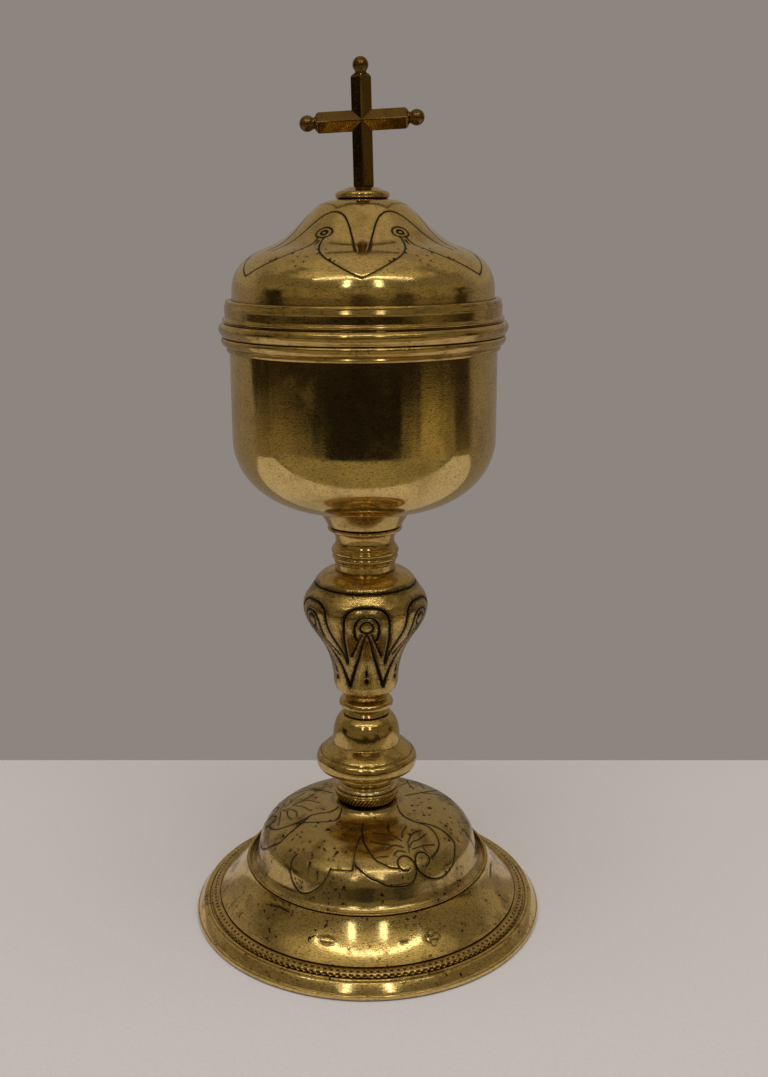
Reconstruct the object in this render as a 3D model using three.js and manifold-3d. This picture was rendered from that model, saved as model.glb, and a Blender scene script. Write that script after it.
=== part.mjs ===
// A ciborium: a stepped foot, a turned stem on a tie rod, a cup, and a domed lid with a cross.
// Millimetres, +Z up. The origin is on the stem's axis, in the plane that the foot rests on.
import * as THREE from 'three';
import { mergeVertices } from 'three/addons/utils/BufferGeometryUtils.js';
import Module from 'manifold-3d';

const wasm = await Module();
wasm.setup();

// Walls and fits
const sheet = 1.2; // wall of the spun foot and lid
const bowlWall = 1.3;
const slip = 0.3; // clearance between pieces that nest or pass through one another

// Tie rod and what clamps it
const rodRadius = 3;
const rodGrip = 8; // how far the rod reaches into the boss
const rodTail = 3; // what is left of the rod under its nut
const clampNutWidth = 11; // across flats
const clampNutHeight = 5;
const clampWasherRadius = 10;
const clampWasherHeight = 2;

// Foot, radii given as widths from the dome outwards
const domeWallRadius = 42.7;
const domeLipFlare = 3.5; // how far the dome's lip spreads past its wall
const wireRadius = 0.5;
const wireLedge = 0.7; // flat left outside the crease wire
const flangeWidth = 10.7;
const bandWidth = 3.3;
const bandLedge = 0.4; // flat left outside the beaded band
const edgeWidth = 4.7;
const rimLip = 0.6; // how far the rim ring stands out past the flange
const rimWidth = 5;

// Foot, heights from the floor up
const rimHeight = 2;
const edgeHeight = 3.6;
const bandHeight = 2;
const flangeRise = 15.1;
const domeRise = 24.1;

// Stem, from the foot up
const stemSeatRadius = 12.9;
const coinRingRadius = 12.9;
const coinRingHeight = 5.9;
const coinRibCount = 54;
const coinRibDepth = 0.45;
const coinRibSlant = 28; // degrees from upright
const spacerRadius = 12.2;
const spacerHeight = 1.6;
const lowerKnopRadius = 19.5;
const lowerKnopBell = 13;
const lowerKnopTop = 9.6;
const lowerKnopHeight = 28.5;
const beadRadius = 10.4;
const beadHeight = 7.2;
const upperKnopRadius = 23.5;
const upperKnopWaist = 12.8;
const upperKnopFoot = 9.4;
const upperKnopHeight = 50.6;
const upperKnopCore = 30; // depth of the hollow cast into its top
const neckRadius = 14;
const neckCove = 11.5;
const neckHeight = 17.2;

// Cup
const bossRadius = 13.9;
const bossTopRadius = 18.3;
const bossHeight = 6.8;
const spigotRadius = 6.5;
const spigotLength = 5;
const bowlRadius = 47.9;
const bowlHeight = 62.6;
const bowlCurve = 31; // how far in the round bottom reaches
const bowlRise = 26; // how high it turns into the straight wall
const cupMouldingDepth = 5;
const cupMouldingReach = 2.9;

// Lid
const lidMouldingHeight = 12.9;
const lidTorusReach = 3.7; // how far the torus stands out past the bowl
const lidWallSetback = 1.3; // how far the lid's wall stands in from the bowl's
const lidWallRise = 2.4; // the upright wall above the moulding
const lidDomeRise = 33.8;
const bezelHeight = 12;
const bezelDrop = 6.2; // how far the bezel reaches down into the cup
const finialSeatRadius = 9.6;
const finialHeight = 4.2;
const studRadius = 2;
const studGrip = 9; // how far the stud reaches into the cross
const finialNutWidth = 7;
const finialNutHeight = 3;
const finialWasherRadius = 6;
const finialWasherHeight = 1;

// Cross
const barWidth = 7.1;
const barDepth = 6.4;
const crossCentre = 22; // from the collar to the middle of the arms
const crossTop = 37.2; // from the collar to the end of the upright
const armReach = 16;
const tipTaper = 2; // length of the chamfer at the ends
const tipRadius = 2.3;
const uprightLean = 1.2; // degrees
const armTilt = 2.8;
const ballRadius = 2.75;
const ballNeck = 1.6;
const ballNeckLength = 0.6;
const pegRadius = 1.1;
const pegLength = 3;

// How finely round things are faceted
const wideSteps = 32;
const stemSteps = 20;
const fineSteps = 10;

// Radii of the foot, from the dome outwards
const domeLipRadius = domeWallRadius + domeLipFlare;
const flangeTopRadius = domeLipRadius + 2 * wireRadius + wireLedge;
const bandInnerRadius = flangeTopRadius + flangeWidth;
const bandOuterRadius = bandInnerRadius + slip + bandWidth;
const edgeRadius = bandOuterRadius + bandLedge + edgeWidth;
const footRadius = edgeRadius + rimLip;

// Seats, from the floor up
const bandSeat = rimHeight + edgeHeight;
const creaseSeat = bandSeat + flangeRise;
const stemSeat = creaseSeat + domeRise;
const spacerSeat = stemSeat + coinRingHeight;
const lowerKnopSeat = spacerSeat + spacerHeight;
const beadSeat = lowerKnopSeat + lowerKnopHeight;
const upperKnopSeat = beadSeat + beadHeight;
const neckSeat = upperKnopSeat + upperKnopHeight;
const bossSeat = neckSeat + neckHeight;
const bowlSeat = bossSeat + bossHeight;
const lidSeat = bowlSeat + bowlHeight;

// Bores and the places that follow from them
const rodBore = rodRadius + slip;
const studBore = studRadius + slip;
const clampSeat = stemSeat - sheet;
const rodBottom = clampSeat - clampWasherHeight - clampNutHeight - rodTail;
const rodTop = bossSeat - spigotLength + rodGrip;
const bezelRadius = bowlRadius - bowlWall - slip;
const lidWallRadius = bowlRadius - lidWallSetback;
const lidCrown = lidMouldingHeight + lidDomeRise; // both above the lid's seat
const domeLedge = bezelHeight - bezelDrop;

// Points of an elliptical arc in the plane of radius and height; angles in degrees, ends included
function arc([radius, height], [reach, rise], from, to, steps) {
  return Array.from({ length: steps + 1 }, (_, step) => {
    const angle = THREE.MathUtils.degToRad(from + ((to - from) * step) / steps);
    return [radius + reach * Math.cos(angle), height + rise * Math.sin(angle)];
  });
}

// Points of a smooth curve between two ends, each with the point that the curve sets out towards
function bend(start, startAim, endAim, end, steps) {
  const corners = [start, startAim, endAim, end].map(([radius, height]) => new THREE.Vector2(radius, height));
  return new THREE.CubicBezierCurve(...corners).getPoints(steps).map((point) => point.toArray());
}

// The inner face of a sheet: its outer outline, drawn from the bottom up, moved in by the wall
function inset(outline, wall) {
  const points = outline.map((point) => new THREE.Vector2(...point));
  return points.map((point, i) => {
    const before = point.clone().sub(points[Math.max(i - 1, 0)]).normalize();
    const after = points[Math.min(i + 1, points.length - 1)].clone().sub(point).normalize();
    if (i === 0) before.copy(after);
    if (i === points.length - 1) after.copy(before);
    const inward = new THREE.Vector2(-before.y - after.y, before.x + after.x);
    return point.clone().addScaledVector(inward, wall / (1 + before.dot(after))).toArray();
  });
}

// A solid turned about +Z from an outline that closes on itself, or that starts and ends on the axis
function turned(outline, steps) {
  const points = outline.map(([radius, height]) => new THREE.Vector2(radius, height));
  if (THREE.ShapeUtils.area(points) < 0) points.reverse();
  if (points[0].x > 0) points.push(points[0].clone());
  return new THREE.LatheGeometry(points, steps).rotateX(Math.PI / 2);
}

// A turned piece with a straight bore right through it
function bored(outline, bore, steps) {
  const bottom = outline[0][1];
  const top = outline[outline.length - 1][1];
  return turned([[bore, bottom], ...outline, [bore, top]], steps);
}

// A spun shell between an outer outline and a coarser inner one, both cut off level at their ends
function spun(outer, inner, wall) {
  const lining = inset(inner, wall);
  lining[0][1] = outer[0][1];
  return [...outer, ...lining.reverse()];
}

// A ring whose section differs from one station to the next; each point may be turned on by an angle
function carvedRing(stations, sectionAt) {
  const positions = [];
  const index = [];
  const count = sectionAt(0).length;
  for (let station = 0; station < stations; station += 1) {
    const angle = (2 * Math.PI * station) / stations;
    sectionAt(station).forEach(([radius, height, turn]) => {
      positions.push(radius * Math.cos(angle + turn), radius * Math.sin(angle + turn), height);
    });
    const here = station * count;
    const next = ((station + 1) % stations) * count;
    for (let i = 0; i < count; i += 1) {
      const j = (i + 1) % count;
      index.push(here + i, next + i, next + j, here + i, next + j, here + j);
    }
  }
  const geometry = new THREE.BufferGeometry();
  geometry.setAttribute('position', new THREE.Float32BufferAttribute(positions, 3));
  geometry.setIndex(index);
  return geometry;
}

// Joining and cutting: a geometry made into a solid, and back
function toSolid(geometry) {
  const bare = geometry.clone();
  bare.deleteAttribute('normal');
  bare.deleteAttribute('uv');
  const welded = mergeVertices(bare, 1e-4);
  const corners = welded.index.array;
  const faces = [];
  for (let i = 0; i < corners.length; i += 3) {
    const [a, b, c] = corners.slice(i, i + 3);
    if (a !== b && b !== c && c !== a) faces.push(a, b, c);
  }
  return new wasm.Manifold(new wasm.Mesh({
    numProp: 3,
    vertProperties: new Float32Array(welded.attributes.position.array),
    triVerts: new Uint32Array(faces),
  }));
}

function toGeometry(solid) {
  const mesh = solid.getMesh();
  const geometry = new THREE.BufferGeometry();
  geometry.setAttribute('position', new THREE.BufferAttribute(mesh.vertProperties, 3));
  geometry.setIndex(new THREE.BufferAttribute(mesh.triVerts, 1));
  return geometry;
}

// A plain upright cylinder from a height up
function cylinder(radius, height, bottom, steps) {
  return new THREE.CylinderGeometry(radius, radius, height, steps).rotateX(Math.PI / 2)
    .translate(0, 0, bottom + height / 2);
}

function nut(width, height, bore) {
  const acrossCorners = width / Math.cos(Math.PI / 6);
  const block = toSolid(cylinder(acrossCorners / 2, height, 0, 6));
  return toGeometry(block.subtract(toSolid(cylinder(bore, height + 2, -1, fineSteps))));
}

function washer(radius, height, bore) {
  return bored([[radius, 0], [radius, height]], bore, stemSteps);
}

// The ring under the edge of the foot, flat where it rests
function footRimRing() {
  const round = rimHeight * 0.35;
  return bored([
    [footRadius - round, 0],
    [footRadius, round],
    [footRadius, rimHeight - rimLip],
    [edgeRadius, rimHeight],
  ], footRadius - rimWidth, wideSteps);
}

// The lower shell: a rounded edge, a step for the beaded band, and a sloping face up to the crease
function flangeOutline(steps) {
  const shelfRadius = bandOuterRadius + bandLedge;
  const riser = bandSeat + bandHeight;
  return [
    ...bend([edgeRadius, rimHeight], [edgeRadius, rimHeight + edgeHeight * 0.6],
      [shelfRadius + edgeWidth * 0.5, bandSeat], [shelfRadius, bandSeat], steps),
    [bandInnerRadius, bandSeat],
    ...bend([bandInnerRadius, riser], [bandInnerRadius - flangeWidth * 0.25, riser + flangeRise * 0.18],
      [flangeTopRadius + flangeWidth * 0.2, creaseSeat - flangeRise * 0.22], [flangeTopRadius, creaseSeat], steps),
    [domeLipRadius - 2 * sheet, creaseSeat],
  ];
}

function footFlange() {
  return turned(spun(flangeOutline(4), flangeOutline(2), sheet), wideSteps);
}

function footBeadedBand() {
  const inner = bandInnerRadius + slip;
  const round = bandHeight * 0.35;
  return bored([
    [bandOuterRadius, bandSeat],
    [bandOuterRadius, bandSeat + bandHeight - round],
    [bandOuterRadius - round, bandSeat + bandHeight],
  ], inner, wideSteps);
}

function creaseWire() {
  const middle = domeLipRadius + slip / 2 + wireRadius;
  return turned(arc([middle, creaseSeat + wireRadius], [wireRadius, wireRadius], -90, 198, 4), wideSteps);
}

// The upper shell: a flared lip on the crease, a round dome, and a raised seat for the stem
function domeOutline(steps) {
  const spring = creaseSeat + domeRise * 0.33;
  const crown = stemSeat - 2.5;
  const crownRadius = stemSeatRadius + 2.4;
  return [
    ...bend([domeLipRadius, creaseSeat], [domeWallRadius + 1.8, creaseSeat + 0.4],
      [domeWallRadius, creaseSeat + 1.8], [domeWallRadius, creaseSeat + 5], steps - 1),
    ...bend([domeWallRadius, spring], [domeWallRadius, spring + 6.2],
      [domeWallRadius * 0.79, crown], [crownRadius, crown], steps + 1),
    ...bend([crownRadius, crown], [stemSeatRadius + 1, crown],
      [stemSeatRadius, crown + 1], [stemSeatRadius, stemSeat], 2).slice(1),
    [rodBore, stemSeat],
  ];
}

function footDome() {
  return turned(spun(domeOutline(4), domeOutline(2), sheet), wideSteps);
}

// The ring with slanted ribs: each rib runs up the rounded edge and round with it
function coinEdgeRing() {
  const lean = Math.tan(THREE.MathUtils.degToRad(coinRibSlant)) / coinRingRadius;
  const levels = 3;
  return carvedRing(coinRibCount * 2, (station) => {
    const cut = station % 2 === 0 ? 0 : coinRibDepth;
    const edge = Array.from({ length: levels + 1 }, (_, level) => {
      const height = (coinRingHeight * level) / levels;
      const tuck = 1.5 * (1 - Math.sin((Math.PI / 2) * Math.min(1, (level + 1) / levels)));
      return [coinRingRadius - tuck - cut, height, lean * height];
    });
    const top = lean * coinRingHeight;
    return [...edge, [rodBore, coinRingHeight, top], [rodBore, 0, 0]];
  });
}

function spacerRing() {
  return bored([[spacerRadius, 0], [spacerRadius, spacerHeight]], rodBore, stemSteps);
}

// The bell over two rolls, on a coved foot
function lowerKnop() {
  const part = (share) => lowerKnopHeight * share;
  const groove = lowerKnopRadius - 1.6;
  return bored([
    [spacerRadius, 0],
    [spacerRadius + 0.3, part(0.04)],
    [lowerKnopBell - 0.2, part(0.09)],
    [lowerKnopRadius * 0.72, part(0.16)],
    [lowerKnopRadius * 0.78, part(0.19)],
    ...arc([groove - 0.6, part(0.345)], [lowerKnopRadius - groove + 0.6, part(0.12)], -50, 75, 5),
    [groove, part(0.44)],
    ...bend([groove - 0.1, part(0.455)], [groove - 0.8, part(0.515)],
      [lowerKnopBell + 1.6, part(0.565)], [lowerKnopBell, part(0.6)], 3),
    ...bend([lowerKnopBell, part(0.65)], [lowerKnopBell - 0.1, part(0.8)],
      [lowerKnopBell - 1, part(0.9)], [lowerKnopTop + 1, part(0.96)], 3),
    [lowerKnopTop, part(1)],
  ], rodBore, stemSteps);
}

function beadRing() {
  const part = (share) => beadHeight * share;
  const neck = beadRadius - 2.4;
  return bored([
    [neck + 0.5, 0],
    [neck + 0.9, part(0.09)],
    [neck + 0.4, part(0.19)],
    [neck + 0.1, part(0.28)],
    ...arc([beadRadius - 2, part(0.62)], [2, part(0.27)], -65, 70, 4),
    [neck, part(0.92)],
    [neck, part(1)],
  ], rodBore, stemSteps);
}

// The pear: a slim waist that swells to a wide shoulder with a groove, hollow from above
function upperKnop() {
  const part = (share) => upperKnopHeight * share;
  const shoulder = upperKnopRadius * 0.8;
  const collar = neckCove + 0.6;
  const coreRadius = neckCove - 3;
  const floor = upperKnopHeight - upperKnopCore;
  return turned([
    [rodBore, 0],
    [upperKnopFoot - 1.2, 0],
    [upperKnopFoot - 0.2, part(0.03)],
    [upperKnopWaist - 1.3, part(0.07)],
    ...bend([upperKnopWaist - 0.5, part(0.12)], [upperKnopWaist + 0.1, part(0.38)],
      [upperKnopRadius - 5.9, part(0.46)], [upperKnopRadius - 0.7, part(0.62)], 6),
    ...arc([upperKnopRadius - 5, part(0.73)], [5, part(0.13)], 0, 50, 3),
    [shoulder + 0.25, part(0.91)],
    [shoulder - 0.2, part(0.925)],
    ...bend([shoulder - 0.4, part(0.93)], [shoulder - 2.2, part(0.975)],
      [collar + 2.2, part(0.995)], [collar, part(1)], 3),
    [coreRadius, part(1)],
    [coreRadius, floor],
    [rodBore, floor],
  ], stemSteps);
}

// The neck under the cup: two beads, a cove and a rolled collar, with a socket for the boss's spigot
function stemNeck() {
  const part = (share) => neckHeight * share;
  const socket = spigotRadius + slip;
  const socketFloor = neckHeight - spigotLength - slip;
  return turned([
    [rodBore, 0],
    [neckCove - 0.2, 0],
    [neckCove - 0.2, part(0.15)],
    [neckCove + 0.1, part(0.19)],
    [neckCove - 0.1, part(0.23)],
    ...arc([neckCove, part(0.3)], [0.8, part(0.055)], -70, 70, 3),
    ...arc([neckCove, part(0.43)], [1.1, part(0.065)], -70, 60, 3),
    ...bend([neckCove + 0.6, part(0.51)], [neckCove - 0.5, part(0.57)],
      [neckCove - 0.5, part(0.64)], [neckCove + 0.4, part(0.7)], 3),
    [neckCove + 0.3, part(0.74)],
    [neckCove - 0.1, part(0.77)],
    [neckCove + 0.2, part(0.82)],
    ...arc([neckRadius - 1.5, part(0.925)], [1.5, part(0.055)], -65, 60, 3),
    [neckRadius - 1.4, part(1)],
    [socket, part(1)],
    [socket, socketFloor],
    [rodBore, socketFloor],
  ], stemSteps);
}

// The boss soldered under the bowl, with the threaded socket that the rod pulls on
function cupBoss() {
  return turned([
    [rodBore, -spigotLength],
    [spigotRadius, -spigotLength],
    [spigotRadius, 0],
    ...bend([bossRadius, 0], [bossRadius + 0.8, bossHeight * 0.25],
      [bossTopRadius - 2.5, bossHeight * 0.55], [bossTopRadius, bossHeight], 3),
    [0, bossHeight],
    [0, rodGrip - spigotLength + slip],
    [rodBore, rodGrip - spigotLength + slip],
  ], stemSteps);
}

// The bowl: a flat that the boss is soldered to, a round bottom and a straight wall
function bowlOutline(steps) {
  const flat = bowlRadius - bowlCurve;
  return [[0, 0], ...arc([flat, bowlRise], [bowlCurve, bowlRise], -90, 0, steps), [bowlRadius, bowlHeight]];
}

function cupBowl() {
  const lining = inset(bowlOutline(5), bowlWall).reverse();
  return turned([...bowlOutline(6), ...lining], wideSteps);
}

function cupRimMoulding() {
  const bore = bowlRadius + slip / 2;
  const part = (share) => cupMouldingDepth * share;
  return bored([
    [bowlRadius + cupMouldingReach * 0.25, 0],
    [bowlRadius + cupMouldingReach * 0.4, part(0.15)],
    [bowlRadius + cupMouldingReach * 0.3, part(0.28)],
    ...arc([bowlRadius, part(0.84)], [cupMouldingReach, part(0.54)], -60, 5, 3),
    [bowlRadius + cupMouldingReach * 0.88, part(1)],
  ], bore, wideSteps);
}

// The moulding round the lid: torus, groove, cove and a small step, open below for the bezel
function lidRimMoulding() {
  const part = (share) => lidMouldingHeight * share;
  const torus = bowlRadius + lidTorusReach;
  const wallBore = lidWallRadius + slip / 2;
  return turned([
    [bezelRadius + slip / 2, 0],
    [torus - 1.1, 0],
    [torus - 0.6, part(0.1)],
    ...arc([torus - 1.6, part(0.27)], [1.6, part(0.18)], -55, 60, 4),
    [torus - 1.9, part(0.45)],
    [torus - 1.8, part(0.52)],
    ...bend([torus - 2.2, part(0.58)], [torus - 2.9, part(0.68)],
      [torus - 2.7, part(0.8)], [torus - 2.6, part(0.88)], 3),
    [torus - 3.6, part(0.96)],
    [lidWallRadius + 0.5, part(1)],
    [wallBore, part(1)],
    [wallBore, domeLedge],
    [bezelRadius + slip / 2, domeLedge],
  ], wideSteps);
}

// The ogee dome of the lid, from its wall inside the moulding to the flat that the finial stands on
function lidOutline(steps) {
  const spring = lidMouldingHeight + lidWallRise;
  const part = (share) => spring + (lidCrown - spring) * share;
  const wide = (share) => lidWallRadius * share;
  return [
    [lidWallRadius, domeLedge],
    ...bend([lidWallRadius, spring], [lidWallRadius, part(0.27)], [wide(0.89), part(0.41)],
      [wide(0.7), part(0.505)], steps + 1),
    ...bend([wide(0.7), part(0.505)], [wide(0.575), part(0.58)], [wide(0.495), part(0.725)],
      [wide(0.4), part(0.857)], steps).slice(1),
    ...bend([wide(0.4), part(0.857)], [wide(0.345), part(0.94)], [wide(0.29), lidCrown],
      [finialSeatRadius, lidCrown], steps).slice(1),
    [studBore, lidCrown],
  ];
}

function lidDome() {
  return turned(spun(lidOutline(3), lidOutline(2), sheet), wideSteps);
}

function lidBezel() {
  return bored([[bezelRadius, -bezelDrop], [bezelRadius, domeLedge]], bezelRadius - sheet, wideSteps);
}

function finialCollar() {
  return bored([
    [finialSeatRadius - 0.4, 0],
    [finialSeatRadius - 0.2, finialHeight * 0.2],
    [finialSeatRadius - 0.5, finialHeight * 0.28],
    ...arc([finialSeatRadius - 4, finialHeight * 0.35], [3.9, finialHeight * 0.6], 0, 75, 4),
    [barWidth * 0.6, finialHeight],
  ], studBore, stemSteps);
}

// A bar of the cross: a four-sided section with its ridge to the front, chamfered at its top end
function bar(length, tapered) {
  const ends = [[1, 0], [1, tapered ? tipTaper : 0], [1, length - tipTaper], [0, length]]
    .filter(([, height], i) => i === 0 || height > 0);
  if (tapered) ends[0][0] = 0;
  const positions = [];
  ends.forEach(([full, height]) => {
    const halfWidth = full ? barWidth / 2 : tipRadius;
    const halfDepth = full ? barDepth / 2 : tipRadius;
    positions.push(halfWidth, 0, height, 0, halfDepth, height, -halfWidth, 0, height, 0, -halfDepth, height);
  });
  const index = [0, 2, 1, 0, 3, 2];
  for (let level = 0; level < ends.length - 1; level += 1) {
    for (let side = 0; side < 4; side += 1) {
      const a = level * 4 + side;
      const b = level * 4 + ((side + 1) % 4);
      index.push(a, b, b + 4, a, b + 4, a + 4);
    }
  }
  const last = (ends.length - 1) * 4;
  index.push(last, last + 1, last + 2, last, last + 2, last + 3);
  const geometry = new THREE.BufferGeometry();
  geometry.setAttribute('position', new THREE.Float32BufferAttribute(positions, 3));
  geometry.setIndex(index);
  return geometry;
}

// Where the three ball tips sit: the end of each bar and the way it points
const tipTurns = {
  top: { reach: crossTop - crossCentre, turn: -uprightLean },
  right: { reach: armReach, turn: 90 - armTilt },
  left: { reach: armReach, turn: -90 - armTilt },
};

// A piece drawn pointing up from the crossing, swung to the bar that it belongs to
function swung(geometry, turn) {
  return geometry.rotateY(THREE.MathUtils.degToRad(turn)).translate(0, 0, crossCentre);
}

function cross() {
  const below = 3; // extra length, cut off level with the collar
  const upright = bar(crossTop + below, false).translate(0, 0, -below - crossCentre);
  const arms = bar(armReach * 2, true).translate(0, 0, -armReach);
  let solid = toSolid(swung(upright, -uprightLean)).add(toSolid(swung(arms, 90 - armTilt)));
  Object.values(tipTurns).forEach(({ reach, turn }) => {
    const socket = cylinder(pegRadius + slip / 2, pegLength + slip + 1, reach - pegLength - slip, fineSteps);
    solid = solid.subtract(toSolid(swung(socket, turn)));
  });
  const cutter = new THREE.BoxGeometry(4 * barWidth, 4 * barWidth, 4 * below).translate(0, 0, -2 * below);
  const studSocket = cylinder(studBore, studGrip + slip + 1, -1, fineSteps);
  return toGeometry(solid.subtract(toSolid(cutter)).subtract(toSolid(studSocket)));
}

// A turned ball with a short neck on the end of the bar and a peg in its socket
function crossBall(reach, turn) {
  const centre = reach + ballNeckLength + Math.sqrt(ballRadius ** 2 - ballNeck ** 2);
  const start = -THREE.MathUtils.radToDeg(Math.acos(ballNeck / ballRadius));
  const outline = [
    [0, reach - pegLength],
    [pegRadius, reach - pegLength],
    [pegRadius, reach],
    [ballNeck, reach],
    ...arc([0, centre], [ballRadius, ballRadius], start, 90, 6),
  ];
  outline[outline.length - 1][0] = 0;
  return swung(turned(outline, fineSteps), turn);
}

// Each piece with its finish and the height it is set at
const polished = { color: 0xb8923f, roughness: 0.22, metalness: 1 };
const cast = { color: 0xa8843a, roughness: 0.35, metalness: 1 };
const dark = { color: 0x7d6433, roughness: 0.45, metalness: 1 };
const pale = { color: 0xd8c79a, roughness: 0.3, metalness: 1 };

function place(parent, name, geometry, finish, height = 0) {
  const mesh = new THREE.Mesh(geometry, new THREE.MeshStandardMaterial(finish));
  mesh.name = name;
  mesh.position.z = height;
  parent.add(mesh);
}

const vessel = new THREE.Group();
place(vessel, 'foot_rim_ring', footRimRing(), polished);
place(vessel, 'foot_flange', footFlange(), polished);
place(vessel, 'foot_beaded_band', footBeadedBand(), polished);
place(vessel, 'crease_wire', creaseWire(), polished);
place(vessel, 'foot_dome', footDome(), polished);
place(vessel, 'coin_edge_ring', coinEdgeRing(), polished, stemSeat);
place(vessel, 'spacer_ring', spacerRing(), pale, spacerSeat);
place(vessel, 'lower_knop', lowerKnop(), cast, lowerKnopSeat);
place(vessel, 'bead_ring', beadRing(), cast, beadSeat);
place(vessel, 'upper_knop', upperKnop(), cast, upperKnopSeat);
place(vessel, 'stem_neck', stemNeck(), cast, neckSeat);
place(vessel, 'cup_boss', cupBoss(), polished, bossSeat);
place(vessel, 'cup_bowl', cupBowl(), polished, bowlSeat);
place(vessel, 'cup_rim_moulding', cupRimMoulding(), polished, lidSeat - cupMouldingDepth);
place(vessel, 'tie_rod', cylinder(rodRadius, rodTop - rodBottom, 0, fineSteps), dark, rodBottom);
place(vessel, 'clamp_washer', washer(clampWasherRadius, clampWasherHeight, rodBore), dark,
  clampSeat - clampWasherHeight);
place(vessel, 'clamp_nut', nut(clampNutWidth, clampNutHeight, rodBore), dark,
  clampSeat - clampWasherHeight - clampNutHeight);

// The lid, a group of its own on the rim of the cup
const lid = new THREE.Group();
lid.position.z = lidSeat;
place(lid, 'lid_rim_moulding', lidRimMoulding(), polished);
place(lid, 'lid_dome', lidDome(), polished);
place(lid, 'lid_bezel', lidBezel(), polished);
place(lid, 'finial_collar', finialCollar(), polished, lidCrown);
const crossSeat = lidCrown + finialHeight;
place(lid, 'cross', cross(), dark, crossSeat);
Object.entries(tipTurns).forEach(([side, { reach, turn }]) => {
  place(lid, `cross_ball_${side}`, crossBall(reach, turn), dark, crossSeat);
});
const washerSeat = lidCrown - sheet - finialWasherHeight;
const nutSeat = washerSeat - finialNutHeight;
const studTail = 1; // what is left of the stud under its nut
place(lid, 'cross_stud', cylinder(studRadius, crossSeat + studGrip - nutSeat + studTail, 0, fineSteps), dark,
  nutSeat - studTail);
place(lid, 'finial_washer', washer(finialWasherRadius, finialWasherHeight, studBore), dark, washerSeat);
place(lid, 'finial_nut', nut(finialNutWidth, finialNutHeight, studBore), dark, nutSeat);

const group = new THREE.Group();
group.add(vessel, lid);

export default group;
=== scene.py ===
# A gilt brass ciborium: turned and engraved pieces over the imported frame, a pale table and soft light.
# Lengths of the pieces are in millimetres and become metres where a mesh is made; table, lamps and camera
# are placed in metres.
import math

import bpy
import numpy as np
from mathutils import Matrix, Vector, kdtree


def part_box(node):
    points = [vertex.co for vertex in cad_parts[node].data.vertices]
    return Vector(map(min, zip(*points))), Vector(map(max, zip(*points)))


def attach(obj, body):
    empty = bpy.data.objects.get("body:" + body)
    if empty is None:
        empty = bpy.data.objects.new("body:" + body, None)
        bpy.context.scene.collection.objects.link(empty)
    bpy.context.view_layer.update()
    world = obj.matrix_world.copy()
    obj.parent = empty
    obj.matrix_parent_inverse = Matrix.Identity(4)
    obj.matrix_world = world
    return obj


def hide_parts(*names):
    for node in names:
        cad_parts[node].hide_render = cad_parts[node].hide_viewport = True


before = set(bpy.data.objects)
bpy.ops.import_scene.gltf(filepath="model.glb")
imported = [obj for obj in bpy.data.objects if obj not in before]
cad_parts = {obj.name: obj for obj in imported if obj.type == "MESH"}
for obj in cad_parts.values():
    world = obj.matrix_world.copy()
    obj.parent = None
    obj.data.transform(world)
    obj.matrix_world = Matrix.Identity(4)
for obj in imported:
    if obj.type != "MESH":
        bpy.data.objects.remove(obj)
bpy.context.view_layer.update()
metre = 0.001  # one millimetre
sameSpot = 0.004  # points of an outline that are nearer than this are one
cornerTurn = 0.35  # an outline that turns by more than this, in radians, has a corner there
print("frame loaded with", len(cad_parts), "nodes")


# Outlines, as lists of (radius, height)
def arc(centre, reach, start, end, steps):
    angles = [math.radians(start + (end - start) * step / steps) for step in range(steps + 1)]
    return [(centre[0] + reach[0] * math.cos(a), centre[1] + reach[1] * math.sin(a)) for a in angles]


def bend(start, startAim, endAim, end, steps):
    points = []
    for step in range(steps + 1):
        t = step / steps
        shares = ((1 - t) ** 3, 3 * t * (1 - t) ** 2, 3 * t * t * (1 - t), t ** 3)
        corners = (start, startAim, endAim, end)
        points.append(tuple(sum(s * c[axis] for s, c in zip(shares, corners)) for axis in (0, 1)))
    return points


def distinct(points):
    kept = [points[0]]
    for point in points[1:]:
        if math.dist(point, kept[-1]) > sameSpot:
            kept.append(point)
    return kept


def inset(outline, wall):
    # the inner face of a sheet whose outer outline is drawn from the bottom up
    points = distinct(outline)
    moved = []
    for i, point in enumerate(points):
        before = points[i - 1] if i else None
        after = points[i + 1] if i + 1 < len(points) else None
        ways = []
        for a, b in ((before, point), (point, after)):
            if a and b:
                length = math.dist(a, b)
                ways.append(((b[0] - a[0]) / length, (b[1] - a[1]) / length))
        first, last = ways[0], ways[-1]
        grow = wall / (1 + first[0] * last[0] + first[1] * last[1])
        moved.append((point[0] - (first[1] + last[1]) * grow, point[1] + (first[0] + last[0]) * grow))
    return moved


def turnAt(a, b, c):
    before = math.atan2(b[1] - a[1], b[0] - a[0])
    after = math.atan2(c[1] - b[1], c[0] - b[0])
    return abs((after - before + math.pi) % (2 * math.pi) - math.pi)


def runsAlong(points):
    # how far along its line each point lies
    return np.concatenate([[0], np.cumsum(np.hypot(*np.diff(points, axis=0).T))])


def evenly(outline, spacing):
    # points at an even spacing along the outline, with its corners kept
    points = distinct(outline)
    last = len(points) - 1
    corners = [0, *(i for i in range(1, last) if turnAt(*points[i - 1:i + 2]) > cornerTurn), last]
    result = [points[0]]
    for start, end in zip(corners, corners[1:]):
        stretch = np.array(points[start:end + 1])
        run = runsAlong(stretch)
        steps = max(1, round(run[-1] / spacing))
        for at in np.linspace(0, run[-1], steps + 1)[1:]:
            result.append(tuple(float(np.interp(at, run, stretch[:, axis])) for axis in (0, 1)))
    return result


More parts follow.
